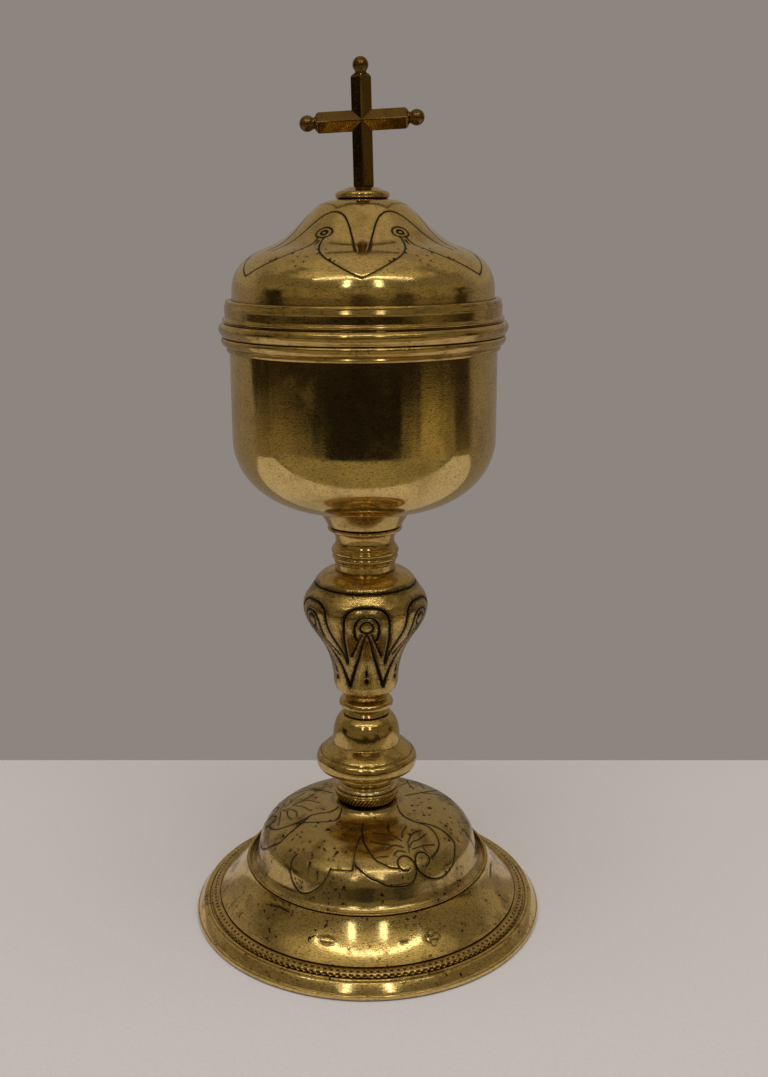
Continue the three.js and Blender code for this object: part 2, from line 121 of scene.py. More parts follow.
def eased(outline, reach):
    # sharp corners rounded over, as a polished edge is
    points = distinct(outline)
    result = [points[0]]
    for a, b, c in zip(points, points[1:], points[2:]):
        back, ahead = (min(reach / math.dist(*side), 0.45) for side in ((a, b), (b, c)))
        if turnAt(a, b, c) < cornerTurn:
            result.append(b)
            continue
        start = tuple(b[k] + (a[k] - b[k]) * back for k in (0, 1))
        end = tuple(b[k] + (c[k] - b[k]) * ahead for k in (0, 1))
        middle = tuple((start[k] + 2 * b[k] + end[k]) / 4 for k in (0, 1))
        result += [start, middle, end]
    return [*result, points[-1]]


def stretched(outline, bottom, top):
    # heights drawn as shares, with 0 at the bottom and 1 at the top, made into millimetres
    return [(radius, bottom + (top - bottom) * share) for radius, share in outline]


def nodeSize(node):
    # lowest and highest point and outer radius of a node, in millimetres
    low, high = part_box(node)
    return low[2] / metre, high[2] / metre, high[0] / metre


# Meshes
def pick(*pieces):
    bpy.ops.object.select_all(action="DESELECT")
    for piece in pieces:
        piece.select_set(True)
        bpy.context.view_layer.objects.active = piece


def finishMesh(piece, smoothAngle=32):
    # from edit mode: doubled points merged, faces turned outward and all but sharp edges shaded smooth
    bpy.ops.mesh.select_all(action="SELECT")
    bpy.ops.mesh.remove_doubles(threshold=2e-6)
    bpy.ops.mesh.delete_loose()
    bpy.ops.mesh.normals_make_consistent(inside=False)
    bpy.ops.object.mode_set(mode="OBJECT")
    bpy.ops.object.shade_smooth_by_angle(angle=math.radians(smoothAngle))
    return piece


def applyModifier(piece, kind, **settings):
    pick(piece)
    modifier = piece.modifiers.new(kind.lower(), kind)
    for key, value in settings.items():
        setattr(modifier, key, value)
    bpy.ops.object.modifier_apply(modifier=modifier.name)


def turnedPiece(name, outline, steps):
    # a circle laid out along the closed outline, corner by corner, then turned round the axis
    pick()
    bpy.ops.mesh.primitive_circle_add(vertices=len(outline), radius=metre)
    piece = bpy.context.object
    piece.name = piece.data.name = name
    for corner, (radius, height) in zip(piece.data.vertices, outline):
        corner.co = (radius * metre, 0, height * metre)
    applyModifier(piece, "SCREW", axis="Z", angle=2 * math.pi, screw_offset=0, steps=steps,
                  render_steps=steps, use_merge_vertices=True, merge_threshold=1e-6)
    bpy.ops.object.mode_set(mode="EDIT")
    return finishMesh(piece)


def vertexPlaces(piece):
    places = np.empty(len(piece.data.vertices) * 3)
    piece.data.vertices.foreach_get("co", places)
    return places.reshape(-1, 3)


def markEdges(piece, distances):
    # stores how far each point is from the nearest cut's edge, in millimetres, for the dirt in the cuts
    attribute = piece.data.attributes.new("engraved", "FLOAT", "POINT")
    attribute.data.foreach_set("value", distances.astype(np.float32))


def pressIn(piece, weights, depth):
    # pushes the surface in along its normals by depth millimetres where the weight is one
    group = piece.vertex_groups.new(name="pressed")
    for index in np.flatnonzero(weights > 0.01):
        group.add([int(index)], float(weights[index]), "REPLACE")
    applyModifier(piece, "DISPLACE", strength=-depth * metre, mid_level=0, vertex_group="pressed")
    piece.vertex_groups.clear()


# Engraving: strokes are (half width, [(degrees, run), ...]), where degrees go round from the front to
# the right and the run is the distance up the outline from its lowest point
def flowing(points, steps=8):
    # a smooth curve through a few points
    if len(points) < 3:
        return points
    ends = [points[0], *points, points[-1]]
    result = []
    for a, b, c, d in zip(ends, ends[1:], ends[2:], ends[3:]):
        for step in range(steps):
            t = step / steps
            result.append(tuple(0.5 * (2 * b[k] + (c[k] - a[k]) * t
                                       + (2 * a[k] - 5 * b[k] + 4 * c[k] - d[k]) * t * t
                                       + (3 * b[k] - a[k] - 3 * c[k] + d[k]) * t ** 3) for k in (0, 1)))
    return [*result, points[-1]]


def ringStroke(halfWidth, centre, radius, perDegree):
    # a drilled or engraved ring; perDegree is the arc length of one degree there
    return halfWidth, arc(centre, (radius / perDegree, radius), 0, 360, 12)


def mirrored(strokes):
    return [(half, [(-degrees, run) for degrees, run in path]) for half, path in strokes]


def around(strokes, turns):
    return [(half, [(degrees + turn, run) for degrees, run in path])
            for half, path in strokes for turn in turns]


# In millimetres: the marks' spacing along a stroke, how far off the outline a point still lies on the face,
# how wide a cut's sloping side is, and how far off a stroke still counts
engraveSize = {"spacing": 0.12, "onFace": 0.02, "slope": 0.35, "far": 3.0}


def engrave(piece, outline, strokes, depth):
    # stores each point's distance to the nearest stroke's edge, and sinks the strokes into the surface
    far = engraveSize["far"]
    line = np.array(distinct(outline))
    runs = runsAlong(line)
    marks = []
    for half, path in strokes:
        points = np.array(flowing(path) if len(path) > 1 else path * 2, dtype=float)
        radii = np.interp(points[:, 1], runs, line[:, 0])
        heights = np.interp(points[:, 1], runs, line[:, 1])
        angles = np.radians(points[:, 0])
        spots = np.stack([radii * np.sin(angles), -radii * np.cos(angles), heights], axis=1)
        gaps = np.linalg.norm(np.diff(spots, axis=0), axis=1)
        along = np.concatenate([[0], np.cumsum(gaps)])
        count = max(2, int(along[-1] / engraveSize["spacing"]))
        at = np.linspace(0, along[-1], count)
        dense = np.stack([np.interp(at, along, spots[:, k]) for k in range(3)], axis=1)
        halves = np.full(count, half) if np.isscalar(half) else np.linspace(half[0], half[1], count)
        marks.append(np.concatenate([dense, halves[:, None]], axis=1))
    marks = np.concatenate(marks)
    tree = kdtree.KDTree(len(marks))
    for index, mark in enumerate(marks):
        tree.insert(mark[:3], index)
    tree.balance()
    face = kdtree.KDTree(len(line))
    for index, (radius, height) in enumerate(line):
        face.insert((radius, height, 0), index)
    face.balance()
    places = vertexPlaces(piece) / metre
    distances = np.full(len(places), far)
    for i, place in enumerate(places):
        if face.find((math.hypot(place[0], place[1]), place[2], 0))[2] > engraveSize["onFace"]:
            continue
        near = tree.find_n(place, 3)
        distances[i] = min(far, *(gap - marks[index][3] for _, index, gap in near))
    markEdges(piece, distances)
    pressIn(piece, np.clip(0.5 - distances / engraveSize["slope"], 0, 1), depth)


# Materials
def linear(hexColour):
    channels = [int(hexColour[k:k + 2], 16) / 255 for k in (1, 3, 5)]
    return (*(c / 12.92 if c <= 0.04045 else ((c + 0.055) / 1.055) ** 2.4 for c in channels), 1)


def addNode(tree, kind, settings):
    # a key is a socket's number or name, or a property; a value that is another node's socket is linked in
    node = tree.nodes.new("ShaderNode" + kind)
    for key, value in settings.items():
        if isinstance(value, bpy.types.NodeSocket):
            tree.links.new(value, node.inputs[key])
        elif isinstance(key, int) or key in node.inputs:
            node.inputs[key].default_value = value
        else:
            setattr(node, key, value)
    return node


def calculate(tree, operation, *terms):
    return addNode(tree, "Math", {"operation": operation, **dict(enumerate(terms))}).outputs[0]


def calculateVector(tree, operation, *terms):
    return addNode(tree, "VectorMath", {"operation": operation, **dict(enumerate(terms))}).outputs


def ranged(tree, source, start, end, high=1, low=0):
    # low where the source is at start or before it, high where it is at end or past it
    return addNode(tree, "MapRange", {0: source, 1: start, 2: end, 3: low, 4: high}).outputs[0]


def blended(tree, share, under, over):
    # share is how much of the upper colour covers the lower one; a colour is hex text or a socket
    colours = {key: linear(c) if isinstance(c, str) else c for key, c in ((6, under), (7, over))}
    return addNode(tree, "Mix", {"data_type": "RGBA", 0: share, **colours}).outputs[2]


def noise(tree, where, scale, detail, **more):
    return addNode(tree, "TexNoise", {**more, "Vector": where, "Scale": scale, "Detail": detail}).outputs[0]


def metalFinish(name, look):
    # brass as it was worked: turned lines, grain, a brown skin in patches and black in what is cut in
    material = bpy.data.materials.new(name)
    material.use_nodes = True
    tree = material.node_tree
    tree.nodes.clear()
    where = addNode(tree, "TexCoord", {}).outputs["Object"]
    flat = calculateVector(tree, "MULTIPLY", where, (1, 1, 0))[0]
    radius = calculateVector(tree, "LENGTH", flat)["Value"]
    bearing = calculateVector(tree, "NORMALIZE", flat)[0]
    height = addNode(tree, "SeparateXYZ", {0: where}).outputs[2]
    perPitch = 1 / (look["linePitch"] * metre)
    upward = addNode(tree, "CombineXYZ", {2: calculate(tree, "MULTIPLY", height, perPitch)}).outputs[0]
    outward = calculate(tree, "MULTIPLY", radius, perPitch)
    # long lines left by the turning tool, and short dashes along them
    wound = calculateVector(tree, "MULTIPLY_ADD", bearing, (look["lineTurns"],) * 3, upward)[0]
    lines = noise(tree, wound, 1, 2, noise_dimensions="4D", W=outward)
    short = calculateVector(tree, "MULTIPLY_ADD", bearing, (look["dashTurns"],) * 3, upward)[0]
    dashes = noise(tree, short, 1.2, 3, noise_dimensions="4D", W=outward)
    grain = noise(tree, where, 1 / (look["grainSize"] * metre), 3)
    cloud = noise(tree, where, 1 / (look["patchSize"] * metre), 5, Roughness=0.62)
    patches = ranged(tree, cloud, 0.5, 0.72, look["patches"], look["film"])
    freckles = ranged(tree, dashes, 0.5, 0.68, look["freckles"])
    bright = blended(tree, lines, look["colour"], look["worn"])
    stained = blended(tree, patches, bright, look["patina"])
    skin = blended(tree, freckles, stained, look["patina"])
    # darker where the surface is hemmed in by its own hollows or by the next piece: dirt and painted shade
    # in one, laid in from an occlusion node
    hollow = addNode(tree, "AmbientOcclusion", {"samples": 6, "Distance": look["hollowReach"] * metre})
    dirtAndShade = ranged(tree, hollow.outputs["AO"], 0.75, 0.35, look["dirtAndShade"])
    colour = blended(tree, dirtAndShade, skin, "#120c05")
    if look["pits"]:
        # pits eaten into the metal, thickest where the skin is brown
        holes = noise(tree, where, 1 / (look["pitSize"] * metre), 2)
        deep = ranged(tree, holes, 0.61, 0.66, look["pits"])
        near = ranged(tree, cloud, 0.47, 0.56)
        colour = blended(tree, calculate(tree, "MULTIPLY", deep, near), colour, "#1a1208")
    rough = ranged(tree, grain, 0.3, 0.7, look["roughness"] * 1.35, look["roughness"] * 0.75)
    dulled = calculate(tree, "MULTIPLY_ADD", patches, 0.3, rough)
    if look.get("engraved"):
        # black in the cut with a ragged edge, and a brown stain beside it where the grain is open
        distance = addNode(tree, "Attribute", {"attribute_name": "engraved"}).outputs["Fac"]
        edge = calculate(tree, "MULTIPLY_ADD", grain, look["ragged"], distance)
        middle = look["cutWidth"] + look["ragged"] / 2
        line = ranged(tree, edge, middle, middle - look["cutSoft"], look["cutDark"])
        beside = ranged(tree, edge, middle + look["haloReach"], middle, look["halo"])
        stain = calculate(tree, "MULTIPLY", beside, ranged(tree, grain, 0.36, 0.6))
        colour = blended(tree, line, blended(tree, stain, colour, "#24180b"), look["cutColour"])
        dulled = calculate(tree, "MULTIPLY_ADD", line, 0.35, dulled)
    relief = {}
    for source, depth in ((lines, "lineDepth"), (dashes, "dashDepth"), (grain, "grainDepth")):
        bump = addNode(tree, "Bump", {"Distance": look[depth] * metre, "Height": source, **relief})
        relief = {"Normal": bump.outputs[0]}
    surface = addNode(tree, "BsdfPrincipled", {
        "Metallic": 1, "Anisotropic": look["smear"], "Anisotropic Rotation": 0.25,
        "Base Color": colour, "Roughness": dulled, **relief}).outputs[0]
    addNode(tree, "OutputMaterial", {"Surface": surface})
    return material


# Polished gilt brass spun from sheet: a warm mirror, softened up and down by fine rings
spunGilt = {
    "colour": "#ecd18a", "worn": "#e0be72", "patina": "#6f5229", "roughness": 0.085, "smear": 0.3,
    "linePitch": 0.35, "lineTurns": 3, "lineDepth": 0.0035, "dashTurns": 48, "dashDepth": 0.005,
    "grainSize": 0.55, "grainDepth": 0.005, "patchSize": 16, "patches": 0.35, "freckles": 0.75,
    "hollowReach": 1.2, "dirtAndShade": 0.9, "pits": 0, "pitSize": 1.5, "film": 0,
    "cutWidth": 0.18, "cutDark": 0.97, "cutSoft": 0.26, "cutColour": "#140e07", "ragged": 0.1, "halo": 0.25,
    "haloReach": 0.7,
}
# The same metal turned from the solid: tighter rings, more hollows for dirt and painted shade to gather in
# its colour and worn colour are a painted shade darker than the sheet's, standing in for the darker
# surroundings that the turned pieces reflect
turnedGilt = {
    **spunGilt, "colour": "#e0c47c", "worn": "#cca860", "roughness": 0.11, "linePitch": 0.28,
    "dashTurns": 12, "patchSize": 9, "patches": 0.5, "hollowReach": 1, "pits": 0.6, "pitSize": 0.9,
    "film": 0.06,
}
# The sheet on the bowl; engraved and more worn on the lid; stained and pitted on the flange; and browned
# nearly all over on the foot's dome
spunPlain = metalFinish("spun gilt brass", spunGilt)
spunEngraved = metalFinish("spun gilt brass, engraved", {
    **spunGilt, "engraved": True, "roughness": 0.12, "patches": 0.45, "patchSize": 12})
footEngraved = metalFinish("spun gilt brass, engraved and stained", {
    **spunGilt, "engraved": True, "patches": 0.75, "patchSize": 11, "roughness": 0.12, "pits": 0.9,
    "cutWidth": 0.12, "cutDark": 0.92, "halo": 0.4})
domeEngraved = metalFinish("spun gilt brass, engraved and browned", {
    **spunGilt, "colour": "#ead08b", "worn": "#d8bb73", "engraved": True, "patches": 0.9, "patchSize": 9,
    "roughness": 0.1, "pits": 0.95, "film": 0.22, "cutWidth": 0.14, "cutDark": 0.94, "halo": 0.4})
# Turned work left plain; with brown in its notches; with black between its ribs; and the knop's worn,
# pitted ground under deep black petals
turnedPlain = metalFinish("turned gilt brass", turnedGilt)
turnedCut = metalFinish("turned gilt brass, notched", {
    **turnedGilt, "engraved": True, "cutWidth": 0.1, "cutDark": 0.8, "cutColour": "#2b1b0c", "halo": 0})
turnedRibbed = metalFinish("turned gilt brass, ribbed", {
    **turnedGilt, "engraved": True, "cutWidth": 0.17, "cutDark": 0.93, "cutSoft": 0.3, "halo": 0})
turnedEngraved = metalFinish("turned gilt brass, engraved", {
    **turnedGilt, "engraved": True, "grainSize": 0.45, "grainDepth": 0.03, "roughness": 0.16,
    "patches": 0.65, "freckles": 0.9, "pits": 0.95, "pitSize": 0.6, "dirtAndShade": 1, "film": 0.04,
    "cutWidth": 0.16, "cutSoft": 0.4, "cutDark": 0.96, "ragged": 0.55, "halo": 1, "haloReach": 1.9})
# Brass that lost most of its gilding: paler and drier than its neighbours
paleBrass = metalFinish("pale brass", {
    **turnedGilt, "colour": "#efdda6", "worn": "#e3cb8c", "patches": 0.15, "roughness": 0.2})
# Cast brass gone brown with handling, and dull
agedBrass = metalFinish("aged cast brass", {
    **turnedGilt, "colour": "#9a7b43", "worn": "#765b2b", "patina": "#3b2a14", "roughness": 0.15,
    "smear": 0, "patches": 0.5, "patchSize": 7, "grainSize": 0.7, "grainDepth": 0.0015,
    "lineTurns": 0.5, "lineDepth": 0.001, "dashDepth": 0.001})
# Plain brass of the hidden fastenings: unpolished, with coarse tool marks
plainBrass = metalFinish("plain brass", {
    **turnedGilt, "colour": "#c9a45c", "worn": "#a8843f", "roughness": 0.34, "linePitch": 0.6,
    "lineDepth": 0.01, "patches": 0.6})
print("materials made")


def dress(piece, body, slot, material, *nodes):
    piece.data.materials.clear()
    piece.data.materials.append(material)
    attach(piece, body)
    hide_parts(*nodes)
    return piece


def turnedFrom(node, name, outline, steps=240, body="vessel", slot="turned_brass", material=turnedPlain):
    # outline is a function of the node's bottom, top and outer radius
    return dress(turnedPiece(name, outline(*nodeSize(node)), steps), body, slot, material, node)


# Foot
sheet = 1.2  # wall of the spun foot and lid
rodBore = 3.3
footSize = {"steps": 400, "lip": 0.6, "width": 5, "heel": 0.7}


def footRimOutline(bottom, top, radius):
    heel, lip, inner = footSize["heel"], footSize["lip"], radius - footSize["width"]
    return eased([
        (inner, bottom), (radius - heel, bottom),
        *arc((radius - heel, bottom + heel), (heel, heel), -80, 0, 5), (radius, top - lip),
        *arc((radius - lip, top - lip), (lip, lip), 15, 90, 4), (inner, top)], 0.15)


turnedFrom("foot_rim_ring", "footRim", footRimOutline, footSize["steps"], "vessel", "spun_brass", spunPlain)

flangeSize = {"steps": 420, "bandLedge": 0.4, "bandWidth": 3.6, "bandHeight": 2, "edgeWidth": 4.7,
              "edgeHeight": 3.6, "width": 10.7, "rise": 15.1, "spacing": 0.45, "depth": 0.12,
              "perDegree": 0.93}  # perDegree is the arc length of one degree half way up the face


def flangeFace():
    # the sloping face between the beaded band and the crease
    _, crease, edge = nodeSize("foot_flange")
    rise, width = flangeSize["rise"], flangeSize["width"]
    inner = edge - flangeSize["edgeWidth"] - flangeSize["bandLedge"] - flangeSize["bandWidth"]
    top = inner - width
    riser = crease - rise + flangeSize["bandHeight"]
    return evenly(bend((inner, riser), (inner - width * 0.34, riser + rise * 0.188),
                       (top + width * 0.17, crease - rise * 0.26), (top, crease), 60), flangeSize["spacing"])


def flangeOutline():
    low, crease, edge = nodeSize("foot_flange")
    face = flangeFace()
    seat = low + flangeSize["edgeHeight"]
    shelf = edge - flangeSize["edgeWidth"]
    slope = [(edge, low + 0.2),
             *bend((edge - 0.05, low + 0.3), (edge - 0.7, low + 1.35), (edge - 1.45, low + 2.4),
                   (edge - 2.15, low + 3.25), 20),
             *bend((edge - 2.25, low + 3.35), (edge - 2.45, seat - 0.05), (edge - 2.7, seat),
                   (shelf + 1.5, seat - 0.3), 10)]
    bead = arc((shelf + 0.8, seat - 0.25), (0.6, 0.5), 0, 180, 10)
    lowEdge = evenly([(edge, low), *slope, *bead], 0.3)
    outer = [*lowEdge, (face[0][0], seat), *face]
    lip = nodeSize("foot_dome")[2] - 2 * sheet
    outer.append((lip, crease))
    coarse = [*evenly(lowEdge, 1.5), (face[0][0], seat), *evenly(face, 1.5), (lip, crease)]
    lining = inset(coarse, sheet)
    lining[0] = (lining[0][0], low)
    return [*outer, *lining[::-1]]


flange = turnedPiece("footFlange", flangeOutline(), flangeSize["steps"])
# The foot's ornament has two patterns, each three times round: scrolls, and shields between them
scrollTurns, shieldTurns = (27, 147, 267), (-33, 87, 207)
floretRings = arc((-0.9, 6.9), (1.9, 1.75), 0, 270, 3)
flangeStrokes = around([
    *(ringStroke(0.2, centre, 1.1, flangeSize["perDegree"]) for centre in floretRings),
    (0.3, [(-0.9, 6.9)]), (0.45, [(14, 7.8)]), (0.28, [(-14.5, 7.7), (-11.5, 7.7)])], scrollTurns)
flangeStrokes += around([
    (0.25, [(13.5, 8.2), (15.5, 9.1), (18.5, 9), (20, 7.9), (18, 7), (15, 7.1), (13.5, 8.2)]),
    (0.35, [(-14, 13.4), (-8, 14.4), (-3, 14.2)])], shieldTurns)
engrave(flange, flangeFace(), flangeStrokes, flangeSize["depth"])
dress(flange, "vessel", "spun_brass", footEngraved, "foot_flange")

bandSize = {"notches": 160, "perNotch": 6, "cut": 0.42}


def notchedBand():
    # a ring drawn out level by level, with a slot and a nick cut into each step round it
    bottom, top, radius = nodeSize("foot_beaded_band")
    inner = radius - 3.3
    section = eased([(radius, bottom), (radius, bottom + 0.35), (radius - 0.05, bottom + 0.95),
                     (radius - 0.55, bottom + 1.35), (radius - 1.1, top - 0.25), (radius - 1.7, top),
                     (radius - 2.4, top - 0.1), (inner, top - 0.35)], 0.2)
    section = [*evenly(section, 0.32), (inner, bottom)]
    piece = turnedPiece("notchedBand", section, bandSize["notches"] * bandSize["perNotch"])
    places = vertexPlaces(piece) / metre
    phase = (np.degrees(np.arctan2(places[:, 0], -places[:, 1])) / 360 * bandSize["notches"]) % 1
    inward = radius - np.hypot(places[:, 0], places[:, 1])
    slot = (np.abs(phase - 0.5) < 0.2) & (inward > 0.9) & (inward < 1.8) & (places[:, 2] > bottom + 0.9)
    nick = (np.abs(phase - 0.5) < 0.24) & (inward < 0.4) & (places[:, 2] < bottom + 1)
    cuts = slot | (nick & (places[:, 2] > bottom + 0.05))
    markEdges(piece, np.where(cuts, -0.4, 0.4))
    pressIn(piece, cuts.astype(float), bandSize["cut"])
    return piece


dress(notchedBand(), "vessel", "spun_brass", turnedCut, "foot_beaded_band")

wireSize = {"beads": 240, "perBead": 4, "cut": 0.16}


def beadedWire():
    bottom, top, radius = nodeSize("crease_wire")
    wire = (top - bottom) / 2
    piece = turnedPiece("creaseWire", arc((radius - wire, bottom + wire), (wire, wire), -90, 230, 14),
                        wireSize["beads"] * wireSize["perBead"])
    places = vertexPlaces(piece)
    phase = np.arctan2(places[:, 0], -places[:, 1]) * wireSize["beads"]
    pressIn(piece, 0.5 - 0.5 * np.cos(phase), wireSize["cut"])
    return piece


dress(beadedWire(), "vessel", "spun_brass", turnedPlain, "crease_wire")

domeSize = {"steps": 480, "wall": 42.7, "stemSeat": 12.9, "spacing": 0.38, "depth": 0.1}


def domeFace():
    crease, seat, lip = nodeSize("foot_dome")
    wall, stem = domeSize["wall"], domeSize["stemSeat"]
    rise = seat - crease
    spring, crown, crownRadius = crease + rise * 0.33, seat - 3.3, stem + 5.2
    return [
        *bend((lip, crease), (wall + 2.4, crease + 0.3), (wall + 1.1, crease + 1.4),
              (wall + 0.5, crease + 4), 40),
        *bend((wall - 0.4, spring), (wall - 1.9, spring + 6.2), (wall * 0.79, crown),
              (crownRadius, crown), 80),
        *bend((crownRadius, crown), (crownRadius - 2.4, crown + 0.1), (stem + 0.7, crown + 1.3),
              (stem, seat), 30)[1:]]


def spunShell(face, spacing, bore):
    # a sheet whose outer face ends at the bore on top, with a coarser face inside
    top = (bore, face[-1][1])
    lining = inset([*evenly(face, 1.6), top], sheet)
    lining[0] = (lining[0][0], face[0][1])
    return [*evenly(face, spacing), top, *lining[::-1]]


# Scrolls that meet in two curls under a palmette; and a round shield below scattered punch marks
scrollStrokes = [
    (0.32, [(-32.5, 40), (-32, 35), (-29.5, 28.5), (-26, 24), (-22, 20), (-17.5, 18), (-14, 16.5),
            (-10, 16)]),
    (0.32, [(11, 16.5), (16, 17.5), (20, 19), (23, 21), (26, 24.5), (27.5, 28), (26.5, 31), (24.5, 34),
            (25.5, 38), (30, 41.5), (36, 44.5)]),
    (0.34, [(-4.5, 14.5), (-8, 15), (-9.8, 17.5), (-8.5, 19.5), (-5, 20.2), (-1.8, 19), (-0.2, 16.6),
            (-0.4, 14), (-1.5, 12), (-4, 10), (-7.5, 9.3), (-12, 9.5), (-17, 10.2), (-21.5, 12),
            (-26, 13.5), (-34, 18)]),
    (0.34, [(5.5, 14.2), (9, 15.5), (9.6, 17.5), (8, 19.3), (5, 20), (2, 18.8), (0.6, 16.6), (0.5, 15),
            (1.3, 13), (4.3, 10.7), (8, 9.2), (12.5, 8.4), (17, 8.8), (22, 10.3), (29, 14.5),
            (32.5, 17), (33, 21), (32.5, 25), (30.5, 28.5), (28, 31), (25.5, 32.5)]),
    (0.28, [(-32.7, 32), (-34, 27.7), (-34.8, 23), (-35, 16.5)]),
]
leafStrokes = [
    [(-0.6, 21), (2.3, 25.7)], [(-1.5, 38), (-6.5, 34.5), (-6.7, 32)],
    [(12.6, 33.6), (4.6, 31.5), (0.2, 28.5)], [(-1.4, 27), (-5.5, 29.8), (-12.2, 32), (-21, 33.4)],
    [(-2.8, 23.7), (-8.5, 25.5), (-14.7, 24.4)],
    [(-2.6, 21.5), (-7.8, 22.8), (-11, 21)], [(2.6, 25.7), (8.5, 28.2), (14.3, 28.8), (19.6, 28.3)],
    [(1.4, 23), (5.2, 25), (11.5, 25.1), (20, 26)], [(2.4, 22), (7.9, 22), (12.5, 21.6), (17.8, 20.4)],
    [(9.6, 21.4), (9.8, 19.3)], [(-21.7, 21.1), (-14.8, 21.2)], [(-23.3, 28.6), (-18, 27.5), (-11.8, 26)],
]
shieldStrokes = [
    (0.32, [(-10.4, 17), (-11.6, 14.3), (-10.7, 11.5), (-9, 8.5), (-6, 6), (-2, 4.3), (2.5, 5), (6.7, 7.3),
            (10, 10), (11.8, 12.6), (12.8, 15.8)]),
    (0.25, [(13.5, 15.3), (18, 15.7), (24.6, 15.8)]),
    ((0.45, 0.12), [(0, 16), (1, 11)]), ((0.5, 0.15), [(14, 22.5), (12.5, 20)]),
    ((0.4, 0.15), [(6, 13.5), (7, 10.5)]),
]
punchMarks = [
    (0.42, (-21, 23.5)), (0.42, (-20, 25.5)), (0.42, (-17, 23.5)), (0.3, (-12.5, 22)), (0.42, (-8, 23.5)),
    (0.42, (-20.5, 21)), (0.8, (-3.5, 32)), (0.45, (1.4, 26)), (0.4, (14, 31.5)), (0.4, (-0.5, 36.7)),
    (0.4, (6.5, 35.3)), (0.35, (16.5, 35.5)), (0.4, (11.4, 23.8)), (0.4, (19.5, 23)), (0.35, (10, 18.8)),
    (0.35, (13, 19)), (0.4, (0, 18)), (0.35, (-6.3, 8.7)), (0.35, (-4.6, 7.3)), (0.35, (-2.8, 6)),
    (0.4, (-16, 17)), (0.4, (-12.5, 17)), (0.35, (-11, 18.7)), (0.4, (-8, 19.7)), (0.55, (-2, 39)),
    (0.6, (-19, 33)), (0.4, (-16.3, 31.2)), (0.45, (-14, 37.6)),
]
dome = turnedPiece("footDome", spunShell(domeFace(), domeSize["spacing"], rodBore), domeSize["steps"])
domeStrokes = around([*scrollStrokes, *((0.24, path) for path in leafStrokes)], scrollTurns)
domeStrokes += around([*shieldStrokes, *((half, [spot]) for half, spot in punchMarks)], shieldTurns)
domeStrokes += around([(0.3, [(-31.5, 26.5), (-27, 30), (-18.5, 34), (-11.5, 37), (-8.5, 39.8),
                              (-12, 42.5), (-15, 45)])], shieldTurns[:1])
engrave(dome, evenly(domeFace(), domeSize["spacing"]), domeStrokes, domeSize["depth"])
dress(dome, "vessel", "spun_brass", domeEngraved, "foot_dome")
print("foot made")


# Stem
def boredOutline(outline, bore=rodBore):
    return [(bore, outline[0][1]), *outline, (bore, outline[-1][1])]


coinSize = {"ribs": 54, "perRib": 6, "cut": 0.5, "slant": 35, "lip": 1.5}


def coinRing():
    # a barrel that draws in below, with slanted grooves cut into all but its lip
    bottom, top, radius = nodeSize("coin_edge_ring")
    lip = top - coinSize["lip"]
    side = evenly(bend((radius - 2.5, bottom + 0.1), (radius - 1, bottom + 1.1), (radius - 0.35, lip - 1.6),
                       (radius - 0.25, lip), 20), 0.3)
    barrel = [(radius - 2.7, bottom), *side, *arc((radius - 0.7, lip + 0.75), (0.7, 0.7), -60, 80, 8)]
    piece = turnedPiece("coinRing", boredOutline(barrel), coinSize["ribs"] * coinSize["perRib"])
    places = vertexPlaces(piece) / metre
    angles = np.arctan2(places[:, 0], -places[:, 1])
    lean = np.tan(math.radians(coinSize["slant"])) * (places[:, 2] - bottom) / radius
    phase = ((angles - lean) / (2 * math.pi) * coinSize["ribs"]) % 1
    outside = (np.hypot(places[:, 0], places[:, 1]) > radius - 2.6) & (places[:, 2] < lip - 0.1)
    off = np.where(outside, np.abs(phase - 0.5) * 2 * math.pi * radius / coinSize["ribs"], 3)
    markEdges(piece, off - 0.3)
    pressIn(piece, np.clip(1.1 - off / 0.45, 0, 1), coinSize["cut"])
    return piece


dress(coinRing(), "vessel", "turned_brass", turnedRibbed, "coin_edge_ring")


def spacerOutline(bottom, top, radius):
    return eased(boredOutline([(radius - 0.2, bottom), (radius, bottom + 0.4), (radius - 0.85, top)]), 0.2)


turnedFrom("spacer_ring", "paleSpacer", spacerOutline, slot="pale_brass", material=paleBrass)

lowerKnopSize = {"bell": 13, "top": 9.6, "foot": 11.3, "neck": 10.3}


def lowerKnopOutline(bottom, top, radius):
    bell, foot, neck = lowerKnopSize["bell"], lowerKnopSize["foot"], lowerKnopSize["neck"]
    groove = radius - 1.6
    outer = [
        (foot, 0),
        *bend((foot, 0.02), (foot - 0.4, 0.04), (neck, 0.05), (neck, 0.08), 8),
        *bend((neck, 0.09), (neck + 0.3, 0.13), (bell, 0.14), (radius * 0.78, 0.19), 8),
        (radius * 0.77, 0.205), (radius * 0.8, 0.215),
        *arc((groove - 0.6, 0.345), (radius - groove + 0.6, 0.12), -50, 75, 16),
        (groove - 0.2, 0.425), (groove - 0.1, 0.445),
        *bend((groove - 0.1, 0.455), (groove - 0.8, 0.515), (bell + 1.6, 0.565), (bell, 0.6), 14),
        *bend((bell, 0.65), (bell - 0.1, 0.8), (bell - 1, 0.9), (lowerKnopSize["top"] + 1, 0.96), 12),
        (lowerKnopSize["top"], 1)]
    return eased(boredOutline(stretched(outer, bottom, top)), 0.22)


turnedFrom("lower_knop", "lowerKnop", lowerKnopOutline)


def beadOutline(bottom, top, radius):
    neck = radius - 2.4
    outer = [
        (neck + 0.5, 0), (neck + 0.9, 0.09), (neck + 0.4, 0.19), (neck + 0.1, 0.28),
        *arc((radius - 2, 0.62), (2, 0.27), -65, 70, 14),
        (neck, 0.92), (neck, 1)]
    return eased(boredOutline(stretched(outer, bottom, top)), 0.18)


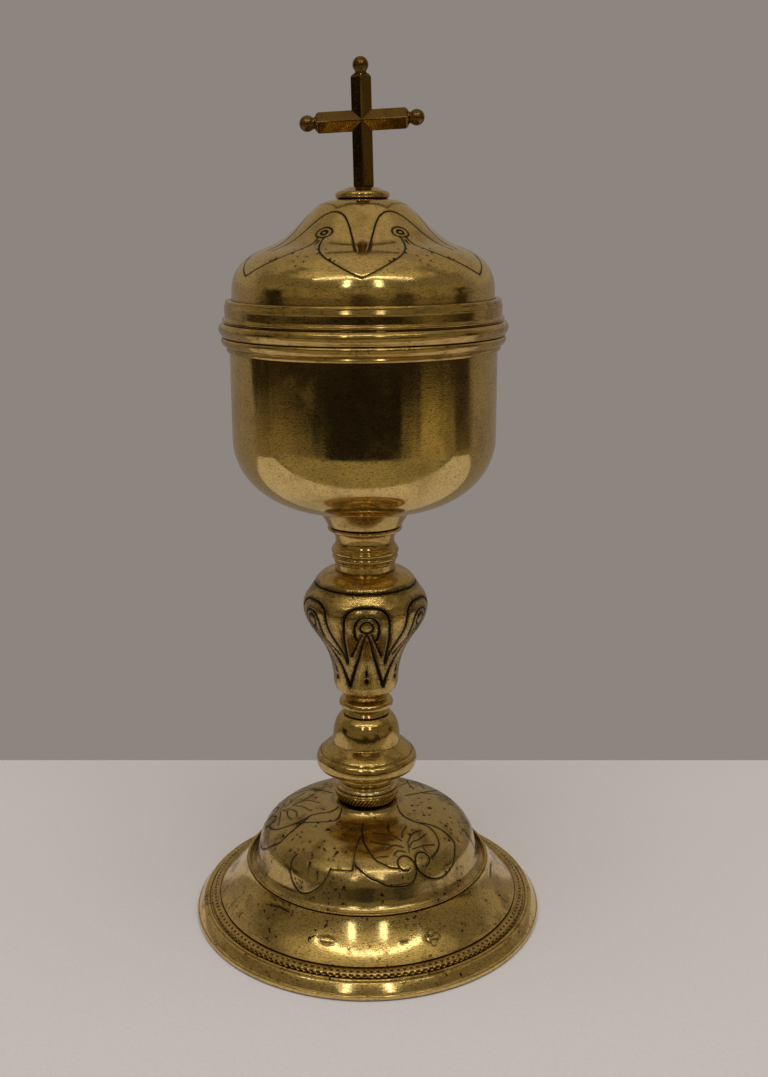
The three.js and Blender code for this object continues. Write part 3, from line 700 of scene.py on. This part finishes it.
turnedFrom("bead_ring", "beadRing", beadOutline)

upperKnopSize = {"steps": 400, "waist": 12.8, "foot": 9.4, "neckCove": 11.5, "core": 30, "shoulderEnd": 19,
                 "spacing": 0.36, "depth": 0.32}


def upperKnopFace():
    bottom, top, radius = nodeSize("upper_knop")
    waist, foot = upperKnopSize["waist"], upperKnopSize["foot"]
    shoulder = radius * 0.8
    collar = upperKnopSize["neckCove"] + 0.6
    return stretched([
        (foot - 1.2, 0), (foot - 0.2, 0.03), (waist - 1.3, 0.07),
        *bend((waist - 0.5, 0.12), (waist + 0.05, 0.34), (radius - 8.2, 0.41), (radius - 4.1, 0.53), 40),
        *bend((radius - 4.1, 0.53), (radius - 1.7, 0.6), (radius, 0.655), (radius, 0.73), 30)[1:],
        *arc((radius - 5, 0.73), (5, 0.13), 2, 50, 30), (shoulder + 0.3, 0.905),
        *bend((shoulder - 0.4, 0.93), (shoulder - 2.2, 0.975), (collar + 2.2, 0.995), (collar, 1), 16)
    ], bottom, top)


def upperKnopOutline():
    bottom, top, _ = nodeSize("upper_knop")
    core = upperKnopSize["neckCove"] - 3
    floor = top - upperKnopSize["core"]
    return [*evenly(upperKnopFace(), upperKnopSize["spacing"]), (core, top), (core, floor),
            (rodBore, floor), (rodBore, bottom)]


# Six petals: an arch round each, a hood and a drilled eye, and two rows of points under it
petalHalf = [
    (0.55, [(0, 46), (9.5, 45.7), (16.5, 44.2), (20, 41.8), (21.5, 37), (24, 30.8), (27, 24.2),
            (28.5, 20.3), (30, 18.5)]),
    ((0.35, 0.7), [(0, 42.3), (6.2, 41.8), (10, 40), (11.3, 37.4), (11.2, 34.6), (10.2, 32)]),
    ((0.4, 0.55), [(4.5, 35.2), (20.5, 22.4)]),
    ((0.35, 0.75), [(0, 35.7), (3.3, 31), (9.4, 22.8), (18.3, 16.4), (29.6, 9)]),
]
petalMiddle = [
    ringStroke(0.42, (0, 38.2), 2.4, 0.4),
    ((0.3, 0.66), [(0, 31), (0, 13.9)]), (0.95, [(0, 11.3)]),
]
upperKnop = turnedPiece("upperKnop", upperKnopOutline(), upperKnopSize["steps"])
petals = around([*petalHalf, *mirrored(petalHalf), *petalMiddle], [1 + 60 * k for k in range(6)])
# a groove all round, where the shoulder ends
knopFace = upperKnopFace()
shoulderEnd = max(i for i, point in enumerate(knopFace) if point[0] > upperKnopSize["shoulderEnd"])
shoulderRun = sum(math.dist(a, b) for a, b in zip(knopFace[:shoulderEnd], knopFace[1:]))
petals.append((0.42, [(turn, shoulderRun) for turn in range(0, 361, 5)]))
engrave(upperKnop, evenly(knopFace, upperKnopSize["spacing"]), petals, upperKnopSize["depth"])
dress(upperKnop, "vessel", "turned_brass", turnedEngraved, "upper_knop")

neckSize = {"cove": 11.5, "socket": 6.8, "socketDepth": 5.3}


def neckOutline(bottom, top, radius):
    cove = neckSize["cove"]
    outer = [
        (cove - 0.2, 0), (cove - 0.2, 0.15), (cove + 0.1, 0.19), (cove - 0.1, 0.23),
        *arc((cove, 0.3), (0.8, 0.055), -70, 70, 10), *arc((cove, 0.43), (1.1, 0.065), -70, 60, 10),
        *bend((cove + 0.6, 0.51), (cove - 0.8, 0.57), (cove - 0.9, 0.72), (cove + 0.5, 0.85), 16),
        *arc((radius - 1.5, 0.925), (1.5, 0.055), -65, 60, 10), (radius - 1.4, 1)]
    floor = top - neckSize["socketDepth"]
    bore = [(neckSize["socket"], top), (neckSize["socket"], floor), (rodBore, floor), (rodBore, bottom)]
    return eased([*stretched(outer, bottom, top), *bore], 0.15)


turnedFrom("stem_neck", "stemNeck", neckOutline)
print("stem made")

# Cup
bossSize = {"spigot": 6.5, "spigotLength": 5, "foot": 13.9, "socketTop": 3.3}


def bossOutline(low, top, radius):
    seat = low + bossSize["spigotLength"]
    high = top - seat
    foot = bossSize["foot"]
    return eased([
        (rodBore, low), (bossSize["spigot"], low), (bossSize["spigot"], seat),
        *bend((foot, seat), (foot + 0.8, seat + high * 0.25), (radius - 2.5, seat + high * 0.55),
              (radius, top), 16),
        (0, top), (0, seat + bossSize["socketTop"]), (rodBore, seat + bossSize["socketTop"])], 0.2)


turnedFrom("cup_boss", "cupBoss", bossOutline)

nestGap = 0.15  # between a moulding and the sheet that it is fitted round
bowlSize = {"steps": 420, "wall": 1.3, "curve": 31, "rise": 26}


def bowlOutline(bottom, top, radius):
    curve, rise = bowlSize["curve"], bowlSize["rise"]
    face = [(0, bottom), *arc((radius - curve, bottom + rise), (curve, rise), -90, 0, 60), (radius, top)]
    outer = evenly(face, 1.1)
    lining = inset(evenly(face, 1.4), bowlSize["wall"])
    lining[0] = (0, lining[0][1])
    lining[-1] = (lining[-1][0], top)
    return eased([*outer, *lining[::-1]], 0.3)


turnedFrom("cup_bowl", "cupBowl", bowlOutline, bowlSize["steps"], "vessel", "spun_brass", spunPlain)


def cupMouldingOutline(bottom, top, radius):
    bowl = nodeSize("cup_bowl")[2]
    reach = radius - bowl
    outer = [
        (bowl + reach * 0.25, 0), (bowl + reach * 0.4, 0.15), (bowl + reach * 0.3, 0.28),
        *arc((bowl, 0.84), (reach, 0.54), -60, 5, 12), (bowl + reach * 0.88, 1)]
    return eased(boredOutline(stretched(outer, bottom, top), bowl + nestGap), 0.15)


turnedFrom("cup_rim_moulding", "cupRimMoulding", cupMouldingOutline, bowlSize["steps"], slot="spun_brass")
print("cup made")

# Lid
lidSize = {"steps": 480, "wall": 46.6, "mouldingRise": 15.3, "finialSeat": 9.6, "studBore": 2.3,
           "spacing": 0.37, "depth": 0.11}


def lidFace():
    ledge, crown, wall = nodeSize("lid_dome")
    spring, seat = nodeSize("lid_rim_moulding")[0] + lidSize["mouldingRise"], lidSize["finialSeat"]
    rise = [
        *bend((wall, 0), (wall, 0.27), (wall * 0.89, 0.41), (wall * 0.7, 0.505), 60),
        *bend((wall * 0.7, 0.505), (wall * 0.575, 0.58), (wall * 0.495, 0.725), (wall * 0.4, 0.857), 50)[1:],
        *bend((wall * 0.4, 0.857), (wall * 0.345, 0.94), (wall * 0.29, 1), (seat, 1), 30)[1:]]
    return [(wall, ledge), *stretched(rise, spring, crown)]


# Six pointed petals with an arch in each valley, a drilled eye between them and punched dots below
lidHalf = [
    (0.3, [(0, 16), (3.6, 17.4), (7.8, 19.3), (12.3, 21.6), (17.4, 24.4), (22, 28.1), (26, 32.8),
           (27.6, 36.4), (27.3, 38.9)]),
    (0.3, [(3, 28.6), (5.4, 35.5), (8, 40.3), (11.6, 44.9), (17, 48.5), (23.8, 50.3), (30, 50.9)]),
    (0.14, [(0, 55.2), (10, 54.9), (19, 54.5), (26.6, 53.3), (30, 52.8)]),
    (0.32, [(27.3, 22.5)]), (0.32, [(27.3, 25.2)]), (0.3, [(22.6, 26.7), (22.4, 27.6)]),
    (0.34, [(19.8, 30.2)]), (0.36, [(25, 30.3)]), (0.36, [(12.5, 22.8)]),
    (0.3, [(14.4, 22.6), (14.9, 24.2)]),
]
lidMiddle = [
    ringStroke(0.3, (30, 40.9), 2.5, 0.37), ringStroke(0.42, (30, 40.9), 0.95, 0.37),
    ((0.2, 0.45), [(30, 34), (30, 36.6)]), (0.34, [(30, 20.3)]),
]
lid = turnedPiece("lidDome", spunShell(lidFace(), lidSize["spacing"], lidSize["studBore"]),
                  lidSize["steps"])
lidStrokes = around([*lidHalf, *mirrored(lidHalf), *lidMiddle], [-0.5 + 60 * k for k in range(6)])
engrave(lid, evenly(lidFace(), lidSize["spacing"]), lidStrokes, lidSize["depth"])
dress(lid, "lid", "spun_brass", spunEngraved, "lid_dome")


def lidMouldingOutline(bottom, top, radius):
    wallBore = lidSize["wall"] + nestGap
    bezel = nodeSize("lid_bezel")[2] + nestGap
    ledge = nodeSize("lid_bezel")[1]
    outer = [
        (radius - 1.5, 0), (radius - 0.9, 0.07), *arc((radius - 1.7, 0.235), (1.7, 0.16), -50, 75, 16),
        (radius - 2.1, 0.4), (radius - 2.1, 0.425), *arc((radius - 1.95, 0.475), (0.5, 0.05), -50, 70, 8),
        (radius - 2.25, 0.53),
        *zip(np.linspace(radius - 2.34, radius - 2.25, 10), np.linspace(0.55, 0.77, 10)),
        (radius - 2.15, 0.8), (radius - 2.6, 0.91), *arc((radius - 3.4, 0.955), (0.8, 0.045), -20, 80, 8),
        (lidSize["wall"] + 0.5, 1)]
    return eased([(bezel, bottom), *stretched(outer, bottom, top), (wallBore, top), (wallBore, ledge),
                  (bezel, ledge)], 0.18)


turnedFrom("lid_rim_moulding", "lidMoulding", lidMouldingOutline, lidSize["steps"], "lid", "spun_brass")


def bezelOutline(bottom, top, radius):
    inner = radius - sheet
    return eased([(inner, bottom), (radius, bottom), (radius, top), (inner, top)], 0.3)


turnedFrom("lid_bezel", "lidBezel", bezelOutline, lidSize["steps"], "lid", "spun_brass", spunPlain)

crossSize = {"barWidth": 7.4, "barDepth": 6.4, "centre": 22, "top": 37.2, "arm": 16, "taper": 0.8,
             "tip": 2.8, "lean": 1.2, "tilt": 2.8, "ball": 2.75, "neck": 2.05, "neckLength": 1,
             "bevel": 0.45}


def collarOutline(bottom, top, _):
    seat, high = lidSize["finialSeat"], top - bottom
    outer = [
        (seat - 1, bottom), *arc((seat - 1.6, bottom + high * 0.36), (1.5, high * 0.34), -60, 70, 18),
        *bend((seat - 1.5, bottom + high * 0.7), (seat - 2.6, bottom + high * 0.78),
              (seat - 3.4, top - 0.4), (crossSize["barWidth"] * 0.62, top), 10)]
    return eased(boredOutline(outer, lidSize["studBore"]), 0.15)


turnedFrom("finial_collar", "finialCollar", collarOutline, body="lid")


# Cross
crossSeat = nodeSize("finial_collar")[1]


def crossBar(name, levels):
    # a four-sided bar with its ridge to the front, drawn up through (height, half width, half depth)
    pick()
    bpy.ops.mesh.primitive_circle_add(vertices=4, radius=metre, fill_type="NGON")
    piece = bpy.context.object
    piece.name = piece.data.name = name
    bpy.ops.object.mode_set(mode="EDIT")
    bpy.ops.mesh.select_all(action="SELECT")
    height, width, depth = levels[0]
    bpy.ops.transform.resize(value=(width, depth, 1), center_override=(0, 0, 0))
    bpy.ops.transform.translate(value=(0, 0, height * metre))
    for nextHeight, nextWidth, nextDepth in levels[1:]:
        rise = (nextHeight - height) * metre
        bpy.ops.mesh.extrude_region_move(TRANSFORM_OT_translate={"value": (0, 0, rise)})
        bpy.ops.transform.resize(value=(nextWidth / width, nextDepth / depth, 1), center_override=(
            0, 0, nextHeight * metre))
        height, width, depth = nextHeight, nextWidth, nextDepth
    finishMesh(piece, 20)
    applyModifier(piece, "BEVEL", width=crossSize["bevel"] * metre, segments=4, limit_method="ANGLE",
                  angle_limit=0.4)
    return piece


def swing(piece, turn):
    # a piece drawn pointing up from the crossing, swung to its bar
    place = Matrix.Translation((0, 0, (crossSeat + crossSize["centre"]) * metre))
    piece.matrix_world = place @ Matrix.Rotation(math.radians(turn), 4, "Y")
    pick(piece)
    bpy.ops.object.transform_apply(location=True, rotation=True, scale=True)
    return piece


def crossBody():
    width, depth, tip = crossSize["barWidth"] / 2, crossSize["barDepth"] / 2, crossSize["tip"]
    top, centre, arm, taper = crossSize["top"], crossSize["centre"], crossSize["arm"], crossSize["taper"]
    upright = crossBar("crossBody", [(-centre, width, depth), (top - centre - taper, width, depth),
                                     (top - centre, tip, tip)])
    arms = crossBar("arms", [(-arm, tip, tip), (taper - arm, width, depth), (arm - taper, width, depth),
                             (arm, tip, tip)])
    swing(upright, -crossSize["lean"])
    swing(arms, 90 - crossSize["tilt"])
    applyModifier(upright, "BOOLEAN", operation="UNION", object=arms, solver="EXACT")
    bpy.data.objects.remove(arms)
    bpy.ops.object.mode_set(mode="EDIT")
    return finishMesh(upright, 20)


def crossTip(name, reach, turn):
    ball, neck = crossSize["ball"], crossSize["neck"]
    centre = reach + crossSize["neckLength"] + math.sqrt(ball ** 2 - neck ** 2)
    start = -math.degrees(math.acos(neck / ball))
    outline = [(0, reach - 0.2), (neck + 0.3, reach - 0.2), (neck + 0.3, reach + 0.1),
               (neck - 0.15, reach + 0.4), *arc((0, centre), (ball, ball), start, 90, 18)]
    outline[-1] = (0, outline[-1][1])
    return swing(turnedPiece(name, outline, 48), turn)


dress(crossBody(), "lid", "aged_brass", agedBrass, "cross")
crossTips = {"top": (crossSize["top"] - crossSize["centre"], -crossSize["lean"]),
             "right": (crossSize["arm"], 90 - crossSize["tilt"]),
             "left": (crossSize["arm"], -90 - crossSize["tilt"])}
for side, (reach, turn) in crossTips.items():
    dress(crossTip("ball" + side.title(), reach, turn), "lid", "aged_brass", agedBrass,
          "cross_ball_" + side)
for node in ("tie_rod", "clamp_washer", "clamp_nut", "cross_stud", "finial_washer", "finial_nut"):
    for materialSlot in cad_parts[node].material_slots:
        materialSlot.material = plainBrass
print("lid and cross made")


# Table, light and camera
def clothMaterial():
    # white cotton cloth laid flat: a fine weave that only softens the light
    material = bpy.data.materials.new("white table cloth")
    material.use_nodes = True
    tree = material.node_tree
    surface = tree.nodes["Principled BSDF"]
    surface.inputs["Roughness"].default_value = 0.85
    weave = noise(tree, addNode(tree, "TexCoord", {}).outputs["Object"], 900, 2)
    bump = addNode(tree, "Bump", {"Distance": 0.1 * metre, "Height": weave}).outputs[0]
    tree.links.new(blended(tree, weave, "#d0cbcf", "#d9d6da"), surface.inputs["Base Color"])
    tree.links.new(bump, surface.inputs["Normal"])
    return material


tableSize = {"half": 0.75, "front": -0.125, "back": 0.132, "turn": 1}
pick()
bpy.ops.mesh.primitive_plane_add(size=1)
table = bpy.context.object
table.name = "table"
bpy.ops.object.mode_set(mode="EDIT")
bpy.ops.mesh.select_all(action="SELECT")
bpy.ops.transform.resize(value=(tableSize["half"] * 2, tableSize["back"] - tableSize["front"], 1))
bpy.ops.transform.translate(value=(0, (tableSize["back"] + tableSize["front"]) / 2, -0.0002))
bpy.ops.transform.rotate(value=math.radians(tableSize["turn"]), orient_axis="Z", center_override=(0, 0, 0))
bpy.ops.object.mode_set(mode="OBJECT")
table.data.materials.append(clothMaterial())


# What stands round the table, as (colour, compass from and to, height from and to, haze), in degrees seen
# from the table top: the front is 0 and the right 90, and haze is how soft the upper and lower edges are.
# The waver is how far noise moves the edges, sideways and upward
roomSize = {
    "air": "#706856", "wall": "#817870", "backdrop": "#8d8580", "sideHaze": 2.5, "waver": (52, 2),
    "parts": [
        # a pale ceiling, brightest to the front, and the walls under it
        ("#a0967f", -80, 80, 38, 95, 2), ("#938775", 100, 190, 36, 70, 3),
        ("#938775", -190, -100, 36, 70, 3), ("#a89c88", -190, 190, 62, 95, 4),
        ("#948a7c", 114, 190, 6, 36, 3), ("#948a7c", -190, -114, 6, 36, 3),
        ("#bdb292", -64, 64, 43, 60, 4),
        # the far side of the room, with a dark band and a paler one below the table's level
        ("#7d7157", -104, 102, -4, 17, 1), ("#2e251b", -104, 102, -8.2, -3.6, 0.4),
        ("#7a6d50", -104, 102, -12, -8.2, 0.4),
        # dark things that stand about
        ("#1a140e", -93, -69, -5, 10, 1.5), ("#2c241b", 84, 100, -10.2, 9, 1.5),
        ("#3a3025", 25, 43, -5, 7, 1.5), ("#453a2b", -13, 7, -5, 6, 1.5),
        ("#241d15", -102, -88, -8.3, -3.6, 0.3),
        # the cloth to the front, and a dark figure before it, wide above and narrow below
        ("#8f8468", -76, 74, -70, -10.9, 0.3), ("#1d1814", -72, 52, -8.9, -3.8, 0.8),
        ("#1b1714", -59, 43, -9.7, -7, 0.6), ("#1a1715", -46, 38, -10.8, -7.2, 0.9),
        ("#1a1715", -37, 30, -14, -9, 1.2),
        # a pale patch to the right of it
        ("#9b8b62", 39, 70, -11, -9, 0.3), ("#9b8b62", 47, 69, -11, -8, 0.3)],
}


def roomLight():
    world = bpy.data.worlds.new("room")
    bpy.context.scene.world = world
    world.use_nodes = True
    tree = world.node_tree
    tree.nodes.clear()
    way = addNode(tree, "TexCoord", {}).outputs["Generated"]
    parts = addNode(tree, "SeparateXYZ", {0: way}).outputs
    ahead = calculate(tree, "MULTIPLY", parts[1], -1)
    compass = calculate(tree, "DEGREES", calculate(tree, "ARCTAN2", parts[0], ahead))
    height = calculate(tree, "DEGREES", calculate(tree, "ARCSINE", parts[2]))
    behind = ranged(tree, calculate(tree, "ABSOLUTE", compass), 100, 108)
    # nothing in the room has a ruled edge
    drawnOut = calculateVector(tree, "MULTIPLY", way, (1, 1, 7))[0]
    cloud = addNode(tree, "TexNoise", {"Vector": drawnOut, "Scale": 5, "Detail": 4}).outputs[1]
    offset = calculateVector(tree, "SUBTRACT", cloud, (0.5, 0.5, 0.5))[0]
    shifts = addNode(tree, "SeparateXYZ", {0: offset}).outputs
    sideways, upward = roomSize["waver"]
    compass = calculate(tree, "MULTIPLY_ADD", shifts[0], sideways, compass)
    height = calculate(tree, "MULTIPLY_ADD", shifts[1], upward, height)
    view = blended(tree, behind, roomSize["air"], roomSize["wall"])
    for colour, left, right, low, high, haze in roomSize["parts"]:
        edges = ((compass, left, roomSize["sideHaze"]), (compass, right, -roomSize["sideHaze"]),
                 (height, low, haze), (height, high, -haze))
        mask = 1
        for source, edge, soft in edges:
            inside = addNode(tree, "MapRange", {
                "interpolation_type": "SMOOTHSTEP", 0: source, 1: edge - soft, 2: edge + soft})
            mask = calculate(tree, "MULTIPLY", mask, inside.outputs[0])
        view = blended(tree, mask, view, colour)
    # the camera itself sees one plain pale backdrop all round
    seen = addNode(tree, "LightPath", {}).outputs["Is Camera Ray"]
    view = blended(tree, seen, view, roomSize["backdrop"])
    light = addNode(tree, "Background", {0: view}).outputs[0]
    addNode(tree, "OutputWorld", {"Surface": light})


roomLight()
lampAim = 0.15  # half way up the object, in metres


def addLamp(name, azimuth, elevation, distance, size, power, inMetal=True):
    # a flat lamp at a compass direction from the object, facing its middle; size is its width and height
    a, e = math.radians(azimuth), math.radians(elevation)
    data = bpy.data.lights.new(name, "AREA")
    data.energy = power
    data.shape = "RECTANGLE"
    data.size, data.size_y = size
    lamp = bpy.data.objects.new(name, data)
    bpy.context.scene.collection.objects.link(lamp)
    lamp.location = (distance * math.cos(e) * math.sin(a), -distance * math.cos(e) * math.cos(a),
                     lampAim + distance * math.sin(e))
    lamp.rotation_euler = (math.pi / 2 - e, 0, a)
    lamp.visible_glossy = inMetal


# two tall windows, a long tube above them, and a broad soft light that only the cloth takes up
addLamp("windowLeft", -14.5, 32, 1.6, (0.12, 0.46), 0.6)
addLamp("windowRight", 14, 32, 1.6, (0.12, 0.46), 0.6)
addLamp("tube", 0, 50, 1.85, (2.7, 0.06), 3)
addLamp("broad", 0, 72, 1.5, (1.6, 1.4), 15, False)

viewpoint = {"back": 0.4395, "height": 0.2618, "down": 14.28, "roll": -0.42, "lens": 40.58, "shift": 0.01764}
cameraData = bpy.data.cameras.new("camera")
cameraData.lens = viewpoint["lens"]
cameraData.shift_x = viewpoint["shift"]
camera = bpy.data.objects.new("camera", cameraData)
bpy.context.scene.collection.objects.link(camera)
facing = Matrix.Rotation(math.radians(90 - viewpoint["down"]), 4, "X") @ Matrix.Rotation(
    math.radians(viewpoint["roll"]), 4, "Z")
camera.matrix_world = Matrix.Translation((0, -viewpoint["back"], viewpoint["height"])) @ facing
bpy.context.scene.camera = camera
bpy.context.scene.view_settings.view_transform = "Standard"
print("table, light and camera set")
